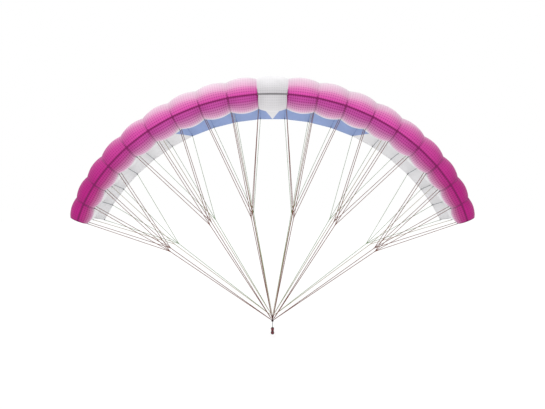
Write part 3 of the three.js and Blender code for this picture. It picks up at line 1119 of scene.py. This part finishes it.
# Near the leading edge the seam tapes are partly painted shade: wide and dark where the valleys between
# billowed cells lie in shade, fading along the seam
NOSE_SEAM_WIDTH = (0.0037, 0.02)
NOSE_SEAM_TAPER = (0.03, 0.009)  # under and over the nose
NOSE_SEAM_SHADE_FADE = 0.11
TAIL_TAPE = (0.685, 0.986)  # shares of the chord
TAPE_LIFT = 0.0003


def strips(canopy, name, slot, count, grid, place, material):
    """Narrow tapes as one piece. place and material take the number of a tape first."""
    pieces = []
    for number in range(count):
        pieces.append(grid_sheet(name, grid, partial(place, number), material(number)))
        thicken(pieces[-1], canopy.sizes.tape, 1)
    pick(*pieces)
    bpy.ops.object.join()
    finish_piece(pieces[0], slot)


class PARAWING_OT_seams(bpy.types.Operator):
    """Tape the leading edge, the rib seams of the nose and the ribs of the tail, and sew the hem"""

    bl_idname = "parawing.seams"
    bl_label = "Seam tapes"

    def execute(self, context):
        self.canopy = Canopy(context.scene.parawing_canopy)
        self.colours = context.scene.parawing_colours
        self.leading_edge()
        self.nose_seams()
        self.tail_tapes()
        self.hem()
        return {"FINISHED"}

    def tape(self, name, base, width, *fade):
        """The finish of a tape, by the names of its colour and its width."""
        size = getattr(self.canopy.sizes, width)
        return made_once(name, webbing_finish, getattr(self.colours, base), size, *fade)

    def leading_edge(self):
        """The tape over the seam of the upper and lower skins, cell by cell. Its dark colour, magenta over
        magenta cells and grey over the white cell, is partly painted shade of the seam's fold.
        """
        canopy = self.canopy
        nose = self.tape("nose_tape", "nose_tape", "nose_tape")
        pale = self.tape("pale_tape", "pale_tape", "nose_tape")

        def place(cell, s, t):
            run = (t - 0.5) * canopy.sizes.nose_tape
            wrap = wrap_at(run / canopy.chord(cell, s))
            lift = TAPE_LIFT + canopy.relief(cell, s, wrap)
            return canopy.cloth(cell, s, wrap, lift), (run, s * canopy.width(cell)), (s, t)

        def material(cell):
            return pale if cell == OUTER_CELLS else nose

        strips(canopy, "leading_edge_tape", "printed_cloth", CELL_COUNT, TAPE_GRID, place, material)

    def nose_seams(self):
        """The taped rib seams, widest and darkest at the leading edge, where they are partly painted shade
        of the valleys between the billowed cells.
        """
        canopy = self.canopy
        seam = self.tape("nose_seam", "nose_tape", "nose_tape", self.colours.seam_end, NOSE_SEAM_SHADE_FADE)

        def place(rib, s, t):
            station = canopy.stations[rib]
            under, over = NOSE_SEAM
            run = mixed(under, over + NOSE_SEAM_TIP * canopy.out_share(station) ** 2, s)
            taper = np.where(run < 0, *NOSE_SEAM_TAPER)
            width = mixed(*NOSE_SEAM_WIDTH, np.exp(-np.abs(run) / taper))
            offset = (0.5 - t) * width
            wrap = wrap_at(run / canopy.chord_at(station))
            return beside_rib(canopy, rib, offset, wrap, TAPE_LIFT), (offset, run), (s, t)

        count = len(canopy.stations)
        strips(canopy, "nose_rib_seams", "printed_cloth", count, NOSE_SEAM_GRID, place, lambda rib: seam)

    def tail_tapes(self):
        """The tapes under the single-skin tail, one along each rib."""
        canopy = self.canopy
        under = self.tape("tail_tape", "tail_tape", "tail_tape")
        blue = self.tape("blue_tape", "blue_tape", "tail_tape")
        blue_reach = canopy.stations[rib_index("right", SLANT_CELL)]

        def place(rib, s, t):
            wrap = np.sqrt(mixed(*TAIL_TAPE, s))
            offset = (t - 0.5) * canopy.sizes.tail_tape
            depth = -(canopy.sizes.cloth + TAPE_LIFT)
            run = arc_at(wrap) * canopy.chord_at(canopy.stations[rib])
            return beside_rib(canopy, rib, offset, wrap, depth), (offset, run), (s, t)

        def material(rib):
            return blue if abs(canopy.stations[rib]) <= blue_reach else under

        count = len(canopy.stations)
        strips(canopy, "tail_tapes", "rib_cloth", count, TAIL_TAPE_GRID, place, material)

    def hem(self):
        """The stitched hem under the trailing edge, cell by cell."""
        canopy = self.canopy
        white = self.tape("white_hem", "white", "hem")
        blue = self.tape("blue_hem", "blue", "hem")

        def place(cell, s, t):
            run = mixed(0.0, -canopy.sizes.hem, t)
            wrap = wrap_at(arc_at(1.0) + run / canopy.chord(cell, s))
            points = canopy.cloth(cell, s, wrap, -(canopy.sizes.cloth + TAPE_LIFT))
            return points, (run + canopy.sizes.hem / 2, s * canopy.width(cell)), (s, t)

        def material(cell):
            return blue if abs(cell - OUTER_CELLS) <= BLUE_CELLS else white

        strips(canopy, "trailing_edge_hem", "white_cloth", CELL_COUNT, TAPE_GRID, place, material)


class Rigging:
    """Where the lines, their knots and the leaders run."""

    def __init__(self, scene):
        self.canopy = Canopy(scene.parawing_canopy)
        self.sizes = scene.parawing_rigging
        self.bar = scene.parawing_bar
        self.loop = self.bar.cap_radius + self.bar.loop_gap + self.sizes.leader / 2
        self.station = (self.bar.bar_length + self.bar.grip_length) / 4

    def on_bar(self, along, up):
        """A point of the tilted bar, along it towards the rear and up from its axis."""
        return Matrix.Rotation(self.bar.tilt, 3, "X") @ Vector((0.0, along, up))

    def leader(self, end):
        """Foot and knot of a leader."""
        side = -1 if end == "front" else 1
        foot = self.on_bar(side * self.station, self.loop)
        rise = self.sizes.front_leader if end == "front" else self.sizes.rear_leader
        return foot, foot + Vector((0.0, 0.0, rise))

    def top(self, rib, row, stand_off):
        """Where a line of a row meets the cloth at a rib, less a distance."""
        station = self.canopy.stations[rib]
        if row["skin"] == "lower":
            wrap = -math.sqrt(self.canopy.sizes.lower_end) * row["aft"]
            return Vector(self.canopy.rib_point(station, wrap, stand_off))
        return Vector(self.canopy.rib_point(station, row["aft"], -SKIN - stand_off))

    def rows(self, end, side, group):
        """For each row of a group: the row, the foot, end and direction of its main line, and the
        ribs and tops of its upper lines."""
        knot = self.leader(end)[1]
        for row in (row for row in LINE_ROWS if row["end"] == end):
            numbers = group["ties"] if row["ties_only"] else group["ribs"]
            ribs = [rib_index(side, number) for number in numbers]
            tops = [self.top(rib, row, LINE_CLEARANCE) for rib in ribs]
            aim = sum(tops, Vector()) / len(tops)
            outboard = Vector((aim.z - self.canopy.sizes.arch_height, 0.0, -aim.x)).normalized()
            aim += outboard * row["aside"][group["name"]] * (1 if side == "right" else -1)
            split = knot.lerp(aim, group[end] if len(tops) > 1 else 1.0)
            away = (split - knot).normalized()
            yield row, knot + away * self.sizes.main_start, split, away, ribs, tops


LINE_BRAID = 0.005  # pitch of the strands of a sheath
CORD_BRAID = 0.006
WHIP_TURNS = 6
WHIP_PLACE = 0.015  # from the foot of a main line
KNOT_TURNS = 3
TAB_STEPS = 4
LOOP_TURNS = 2
LOOP_STEPS = 30  # to a turn
LOOP_PITCH = 1.04  # of the cord's diameter, over both turns


class PARAWING_OT_lines(bpy.types.Operator):
    """Rig the braided lines in twelve sets"""

    bl_idname = "parawing.lines"
    bl_label = "Lines"

    def execute(self, context):
        scene = context.scene
        rigging = Rigging(scene)
        sizes, colours = scene.parawing_rigging, scene.parawing_colours
        for end, side, group in product(ENDS, SIDES, LINE_GROUPS):
            kinds = LINE_KINDS[end]
            bundle = Bundle()
            heading = Vector()
            for row, foot, split, away, _, tops in rigging.rows(end, side, group):
                kind = row["line"]
                self.row(bundle, sizes, kind, foot, split, away, tops, kinds.index(kind))
                heading += away
            self.eye(bundle, sizes, rigging.leader(end)[1], heading.normalized())
            label = f"{side}_{group['name']}"
            sheaths = [
                made_once(f"{kind}_line_braid", braid_finish, getattr(colours, f"{kind}_line"), LINE_BRAID)
                for kind in kinds
            ]
            piece = bundle.build(f"{end}_rigging_{label}", *sheaths)
            finish_piece(piece, f"{end}_line", f"{end}_lines_{label}")
        return {"FINISHED"}

    def eye(self, bundle, sizes, knot, heading):
        """The whipped eye that holds a set of lines at the leader's knot."""
        start = sizes.leader_knot / 2 - EYE_IN_KNOT
        end = sizes.main_start + EYE_IN_MAIN
        thread = sizes.whipping / 2
        wound = sizes.eye / 2 - thread
        bundle.strand((knot + heading * start, knot + heading * end), wound, LINE_SIDES)
        turns = int((end - start - sizes.whipping) / sizes.whipping)
        middle = knot + heading * (start + end) / 2
        bundle.coil(middle, heading, wound, thread, turns, turns * sizes.whipping)

    def row(self, bundle, sizes, kind, foot, split, away, tops, slot):
        """One row of a set: its main line, the whippings and its upper lines."""
        upper, main, knot = getattr(sizes, f"{kind}_line")
        path = (foot, foot + away * FOOT_TAPER, split)
        bundle.strand(path, (sizes.eye / 2, main / 2, main / 2), LINE_SIDES, slot)
        whip = foot + away * WHIP_PLACE
        bundle.coil(whip, away, main / 2, sizes.whipping / 2, WHIP_TURNS, WHIP_TURNS * sizes.whipping, slot)
        if len(tops) > 1:
            wrap = (knot - main) / 2
            bundle.coil(split, away, main / 2, wrap, KNOT_TURNS, KNOT_TURNS * wrap, slot)
            for top in tops:
                bundle.strand((split, top), upper / 2, LINE_SIDES, slot)


class PARAWING_OT_tabs(bpy.types.Operator):
    """Sew a webbing tab over the end of each upper line"""

    bl_idname = "parawing.tabs"
    bl_label = "Line tabs"

    def execute(self, context):
        scene = context.scene
        rigging = Rigging(scene)
        sizes = scene.parawing_rigging
        webbing = made_once("tab_webbing", webbing_finish, scene.parawing_colours.tab, sizes.tab_width)
        chordwise = (0.0, 1.0, 0.0)
        for side in SIDES:
            bundle = Bundle()
            for end, group in product(ENDS, LINE_GROUPS):
                for row, _, split, _, ribs, tops in rigging.rows(end, side, group):
                    knot = rigging.leader(end)[1] if len(tops) == 1 else split
                    for rib, top in zip(ribs, tops):
                        base = rigging.top(rib, row, 0.0)
                        tip = top + (knot - top).normalized() * sizes.tab_length
                        path = [base.lerp(tip, k / (TAB_STEPS - 1)) for k in range(TAB_STEPS)]
                        bundle.webbing(path, chordwise, sizes.tab_width, sizes.tab)
            finish_piece(bundle.build(f"line_tabs_{side}", webbing), "rib_cloth")
        return {"FINISHED"}


class PARAWING_OT_leaders(bpy.types.Operator):
    """Tie the front and rear leaders round the bar"""

    bl_idname = "parawing.leaders"
    bl_label = "Leaders"

    def execute(self, context):
        scene = context.scene
        rigging = Rigging(scene)
        sizes, colours = scene.parawing_rigging, scene.parawing_colours
        cord = made_once("leader_braid", braid_finish, colours.leader, CORD_BRAID)
        stopper = made_once("stopper_braid", braid_finish, colours.knot, CORD_BRAID)
        radius = sizes.leader / 2
        lifts = sizes.leader * LOOP_PITCH * np.linspace(-0.5, 0.5, LOOP_TURNS * LOOP_STEPS + 1)
        spokes = np.full_like(lifts, rigging.loop)
        axis, up = rigging.on_bar(1.0, 0.0), rigging.on_bar(0.0, 1.0)
        for end, side in zip(ENDS, (-1, 1)):
            foot, knot = rigging.leader(end)
            bundle = Bundle()
            middle = rigging.on_bar(side * rigging.station, 0.0)
            bundle.wind(middle, axis, up, spokes, lifts, LOOP_TURNS, radius, CORD_SIDES)
            end_of_cord = knot + Vector((0.0, 0.0, sizes.leader_knot / 2))
            bundle.strand((foot, knot, end_of_cord), radius, CORD_SIDES)
            bundle.ball(knot, sizes.leader_knot / 2, radius, 1)
            piece = bundle.build(f"{end}_leader_cord", cord, stopper)
            finish_piece(piece, "leader_cord", f"{end}_leader")
        return {"FINISHED"}


def turned(name, rings, material):
    """A turned piece along Z: a disc extruded from ring to ring of (place, radius)."""
    place, radius = rings[0]
    bpy.ops.mesh.primitive_circle_add(vertices=TURNED_SIDES, radius=radius, fill_type="NGON")
    piece = bpy.context.object
    piece.name = piece.data.name = name
    piece.data.materials.append(material)
    bpy.ops.object.mode_set(mode="EDIT")
    bpy.ops.mesh.select_all(action="SELECT")
    bpy.ops.transform.translate(value=(0.0, 0.0, place))
    for next_place, next_radius in rings[1:]:
        bpy.ops.mesh.extrude_region_move(TRANSFORM_OT_translate={"value": (0.0, 0.0, next_place - place)})
        scale = next_radius / radius
        bpy.ops.transform.resize(value=(scale, scale, 1.0), center_override=(0.0, 0.0, next_place))
        place, radius = next_place, next_radius
    bpy.ops.object.mode_set(mode="OBJECT")
    edit_all(bpy.ops.mesh.normals_make_consistent, inside=False)
    return piece


def lay_along_bar(piece, tilt):
    """Turns a piece made along Z onto the tilted bar."""
    piece.rotation_euler = (tilt - math.pi / 2, 0.0, 0.0)
    bpy.ops.object.transform_apply(location=False, rotation=True, scale=False)
    bpy.ops.object.shade_smooth_by_angle(angle=SMOOTH_BAR)


GRIP_RIDGES = 17
GRIP_GROOVE = 0.0008
GRIP_COLLAR = 0.016
# Profiles of turned edges: along the bar, and in from the full radius
GRIP_RIM = ((0.0, 0.002), (0.0006, 0.0006), (0.002, 0.0))
GRIP_DIP = ((-0.0016, 0.0), (-0.0007, GRIP_GROOVE), (0.0007, GRIP_GROOVE), (0.0016, 0.0))
CAP_COLLAR = ((0.0, 0.0015), (0.0005, 0.0004), (0.0015, 0.0))
CAP_SEAT = ((-0.0062, 0.0), (-0.0046, 0.0005), (0.0046, 0.0005), (0.0062, 0.0))
CAP_END = ((-0.003, 0.0), (-0.0017, 0.0006), (-0.0006, 0.0016), (0.0, 0.003), (0.0, 0.005))
CAP_DISH = ((-0.0008, 0.0056), (-0.0012, 0.0075))


class PARAWING_OT_bar(bpy.types.Operator):
    """Turn the foam grip and the two end caps"""

    bl_idname = "parawing.bar"
    bl_label = "Bar"

    def execute(self, context):
        scene = context.scene
        sizes, colours = scene.parawing_bar, scene.parawing_colours
        foam = made_once("closed_cell_foam", foam_finish, colours.grip)
        plastic = made_once("moulded_plastic", moulded_finish, colours.cap)
        grip = turned("grip_sleeve", self.grip_rings(sizes), foam)
        lay_along_bar(grip, sizes.tilt)
        finish_piece(grip, "grip_foam", "bar_grip")
        for end, side in zip(ENDS, (-1, 1)):
            rings = [(side * place, radius) for place, radius in self.cap_rings(sizes)]
            cap = turned(f"{end}_end_cap", rings, plastic)
            lay_along_bar(cap, sizes.tilt)
            finish_piece(cap, "cap_plastic", f"bar_{end}_cap")
        return {"FINISHED"}

    def grip_rings(self, sizes):
        """Profile of the grip: plain collars and ridges for the fingers between them."""
        half, radius = sizes.grip_length / 2, sizes.grip_radius
        rings = [(-half + along, radius - inset) for along, inset in GRIP_RIM]
        first, last = -half + GRIP_COLLAR, half - GRIP_COLLAR
        pitch = (last - first) / GRIP_RIDGES
        for k in range(GRIP_RIDGES + 1):
            middle = first + k * pitch
            rings += [(middle + along, radius - inset) for along, inset in GRIP_DIP]
            if k < GRIP_RIDGES:
                rings.append((middle + pitch / 2, radius))
        return rings + [(half - along, radius - inset) for along, inset in reversed(GRIP_RIM)]

    def cap_rings(self, sizes):
        """Profile of a cap from the grip outwards: a collar, a seat for the leader, a round end
        with a dished middle."""
        start, end = sizes.grip_length / 2 + sizes.cap_gap, sizes.bar_length / 2
        seat = (sizes.bar_length + sizes.grip_length) / 4
        rings = []
        for place, profile in ((start, CAP_COLLAR), (seat, CAP_SEAT), (end, CAP_END + CAP_DISH)):
            rings += [(place + along, sizes.cap_radius - inset) for along, inset in profile]
        return rings


FLOOR_SIZE = 80.0
FLOOR_DROP = 0.002
FLOOR_GLOW = 0.86
FLOOR_SHADE = (0.14, 0.14, 0.14)
FLOOR_ROUGHNESS = 0.9
# Light of the sky by how far a direction looks up and to a side: two limits, and the light at each
SKY_RISE = (-0.3, 0.0, 1.13, 1.0)
SKY_SIDES = (0.55, 0.9, 1.0, 0.72)
KEY_PLACE = (-1.6, -2.6, 5.8)
KEY_AIM = (0.0, 0.2, 1.6)
KEY_SIZE = 4.0
KEY_POWER = 70.0


class PARAWING_OT_stage(bpy.types.Operator):
    """Set the camera, a pale floor and soft studio light"""

    bl_idname = "parawing.stage"
    bl_label = "Stage"

    def execute(self, context):
        self.camera(context.scene)
        self.floor(context.scene)
        self.light(context.scene)
        return {"FINISHED"}

    def camera(self, scene):
        """The photograph's camera."""
        bpy.ops.object.camera_add(location=CAMERA_PLACE, rotation=(CAMERA_PITCH, 0.0, 0.0))
        scene.camera = bpy.context.object
        scene.camera.data.sensor_width = SENSOR_WIDTH
        scene.camera.data.lens = FOCAL_PIXELS * SENSOR_WIDTH / IMAGE_WIDTH
        scene.view_settings.view_transform = "Standard"

    def floor(self, scene):
        """A pale floor that doesn't tint the cloth from below."""
        bpy.ops.mesh.primitive_plane_add(size=FLOOR_SIZE, location=(0.0, 0.0, CAD_BOX[0].z - FLOOR_DROP))
        floor = bpy.context.object
        floor.name = "studio_floor"
        finish = Finish("floor")
        finish.set(Base_Color=FLOOR_SHADE, Roughness=FLOOR_ROUGHNESS)
        finish.set(Emission_Color=scene.parawing_colours.floor, Emission_Strength=FLOOR_GLOW)
        floor.data.materials.append(finish.material)
        floor.visible_diffuse = False
        floor.visible_glossy = False

    def light(self, scene):
        """A white sky that gives less light from both sides, and one soft lamp."""
        scene.world = bpy.data.worlds.new("studio")
        scene.world.use_nodes = True
        sky = Nodes(scene.world.node_tree)
        across, _, up = sky.parts(sky.add("ShaderNodeTexCoord").outputs["Generated"])
        rise = sky.ranged(up, *SKY_RISE, False)
        sides = sky.ranged(sky.math("ABSOLUTE", across), *SKY_SIDES, False)
        seen = sky.add("ShaderNodeLightPath").outputs["Is Camera Ray"]
        background = sky.tree.nodes["Background"].inputs
        sky.feed(background["Strength"], sky.math("MAXIMUM", sky.math("MULTIPLY", rise, sides), seen))
        sky.feed(background["Color"], (1.0, 1.0, 1.0))
        bpy.ops.object.light_add(type="AREA", location=KEY_PLACE)
        lamp = bpy.context.object
        lamp.name = "soft_key"
        lamp.data.size = KEY_SIZE
        lamp.data.energy = KEY_POWER
        aim = Vector(KEY_AIM) - lamp.location
        lamp.rotation_euler = aim.to_track_quat("-Z", "Y").to_euler()


STEPS = (
    PARAWING_OT_stage,
    PARAWING_OT_ribs,
    PARAWING_OT_upper_skin,
    PARAWING_OT_lower_skin,
    PARAWING_OT_seams,
    PARAWING_OT_lines,
    PARAWING_OT_tabs,
    PARAWING_OT_leaders,
    PARAWING_OT_bar,
)


class PARAWING_PT_panel(bpy.types.Panel):
    """The parawing's sizes, colours and steps"""

    bl_idname = "PARAWING_PT_panel"
    bl_label = "Parawing"
    bl_space_type = "VIEW_3D"
    bl_region_type = "UI"
    bl_category = "Parawing"

    def draw(self, context):
        for step in STEPS:
            self.layout.operator(step.bl_idname)
        for name, kind in GROUPS.items():
            box = self.layout.box()
            for key in kind.__annotations__:
                box.prop(getattr(context.scene, name), key)


GROUPS = {
    "parawing_canopy": ParawingCanopySizes,
    "parawing_rigging": ParawingRiggingSizes,
    "parawing_bar": ParawingBarSizes,
    "parawing_colours": ParawingColours,
}


def register():
    """Registers the sizes, the steps and the panel."""
    for kind in (*GROUPS.values(), *STEPS, PARAWING_PT_panel):
        bpy.utils.register_class(kind)
    for name, kind in GROUPS.items():
        setattr(bpy.types.Scene, name, bpy.props.PointerProperty(type=kind))


def unregister():
    """Takes back what register did."""
    for name in GROUPS:
        delattr(bpy.types.Scene, name)
    for kind in (PARAWING_PT_panel, *reversed(STEPS), *reversed(GROUPS.values())):
        bpy.utils.unregister_class(kind)


def main():
    """Builds every piece in order."""
    register()
    bpy.ops.parawing.stage()
    bpy.ops.parawing.ribs()
    bpy.ops.parawing.upper_skin()
    bpy.ops.parawing.lower_skin()
    bpy.ops.parawing.seams()
    bpy.ops.parawing.lines()
    bpy.ops.parawing.tabs()
    bpy.ops.parawing.leaders()
    bpy.ops.parawing.bar()


if __name__ == "__main__":
    main()
